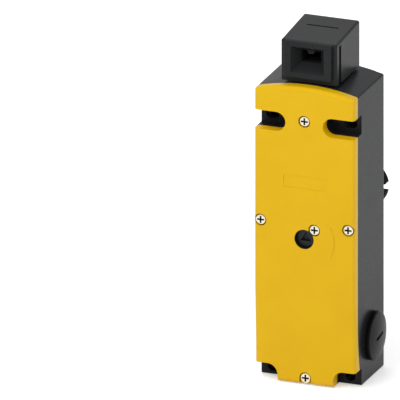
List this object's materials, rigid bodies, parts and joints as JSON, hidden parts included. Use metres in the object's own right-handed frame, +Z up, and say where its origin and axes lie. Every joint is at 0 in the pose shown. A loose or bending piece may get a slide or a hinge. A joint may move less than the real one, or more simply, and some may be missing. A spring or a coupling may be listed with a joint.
{
  "type": "tongue interlock switch",
  "caption": "Narrow guard interlock switch with a turnable actuator head, a solenoid lock, a front key release and a rear escape knob.",
  "frame": {"origin": "rear mounting face, on the middle plane, at the foot of the casing", "axes": "+X to the right seen from the front, +Y out of the rear face, +Z up along the casing"},
  "size_m": [0.0624, 0.0912, 0.1848],
  "materials": {
    "housing_plastic": "fine grained dark grey moulding",
    "head_plastic": "fine grained black moulding",
    "cover_plastic": "satin yellow moulding",
    "plug_plastic": "black moulding",
    "spindle_plastic": "black moulding",
    "cam_plastic": "natural acetal",
    "insulator": "red brown insulating moulding",
    "seal_rubber": "black seal rubber",
    "zinc_steel": "zinc plated",
    "spring_steel": "spring steel",
    "sheet_steel": "zinc plated sheet",
    "rod_steel": "turned steel",
    "contact_brass": "plain brass",
    "winding": "taped copper winding"
  },
  "bodies": {
    "casing": {"housing": "housing_plastic", "cover": "cover_plastic", "cover_gasket": "seal_rubber", "cover_screws": "zinc_steel", "seal_screw": "zinc_steel", "blanking_plugs": "plug_plastic", "plug_seals": "seal_rubber", "head_seal": "seal_rubber", "shaft_seal": "seal_rubber", "plunger_spring": "spring_steel", "contact_block": "insulator", "fixed_contacts": "contact_brass", "terminal_screws": "zinc_steel", "mechanism_frame": "sheet_steel", "frame_screws": "zinc_steel", "armature_spring": "spring_steel", "lock_contact_block": "insulator", "lock_fixed_contacts": "contact_brass", "solenoid_yoke": "sheet_steel", "fixed_core": "sheet_steel", "coil_bobbin": "insulator", "coil_winding": "winding", "coil_terminal_block": "insulator"},
    "head": {"head_housing": "head_plastic", "head_retaining_ring": "spring_steel", "plunger_bush": "contact_brass", "cam_axle": "sheet_steel"},
    "cam": {"cam_wheel": "spindle_plastic"},
    "plunger_rod": {"plunger": "rod_steel", "contact_bridges": "contact_brass"},
    "lock": {"armature": "rod_steel", "lock_plate": "sheet_steel", "lock_bridge": "contact_brass"},
    "carriage": {"bolt_carriage": "cam_plastic", "carriage_pin": "rod_steel"},
    "bolt": {"locking_bolt": "rod_steel", "follower_roller": "rod_steel"},
    "release": {"release_shaft": "rod_steel", "release_spindle": "spindle_plastic", "release_cam": "rod_steel", "escape_knob": "head_plastic", "knob_screw": "zinc_steel"}
  },
  "joints": [
    {"name": "head_turn", "type": "hinge", "parent": "casing", "child": "head", "pos_m": [0, -0.01985, 0.1579], "axis": [0, 0, 1], "range_deg": [-90, 180]},
    {"name": "cam_turn", "type": "hinge", "parent": "head", "child": "cam", "pos_m": [0, -0.01985, 0.1695], "axis": [1, 0, 0], "range_deg": [-60, 0]},
    {"name": "plunger_slide", "type": "slide", "parent": "casing", "child": "plunger_rod", "axis": [0, 0, 1], "range_m": [0, 0.004], "deforming": ["plunger_spring"]},
    {"name": "lock_slide", "type": "slide", "parent": "casing", "child": "lock", "axis": [0, 0, 1], "range_m": [-0.004, 0], "stiffness_N_per_m": 150, "springref_m": 0.006, "deforming": ["armature_spring"]},
    {"name": "carriage_slide", "type": "slide", "parent": "casing", "child": "carriage", "axis": [1, 0, 0], "range_m": [-0.003, 0]},
    {"name": "bolt_slide", "type": "slide", "parent": "carriage", "child": "bolt", "axis": [1, 0, 0], "range_m": [0, 0.0035]},
    {"name": "release_turn", "type": "hinge", "parent": "casing", "child": "release", "pos_m": [0, 0, 0.0786], "axis": [0, 1, 0], "range_deg": [0, 90]}
  ],
  "couplings": [
    {"joint": "cam_turn", "follows": "plunger_slide", "rad_per_m": -261.79},
    {"joint": "carriage_slide", "follows": "lock_slide", "ratio": 0.75},
    {"joint": "bolt_slide", "follows": "release_turn", "m_per_rad": 0.0022281}
  ]
}
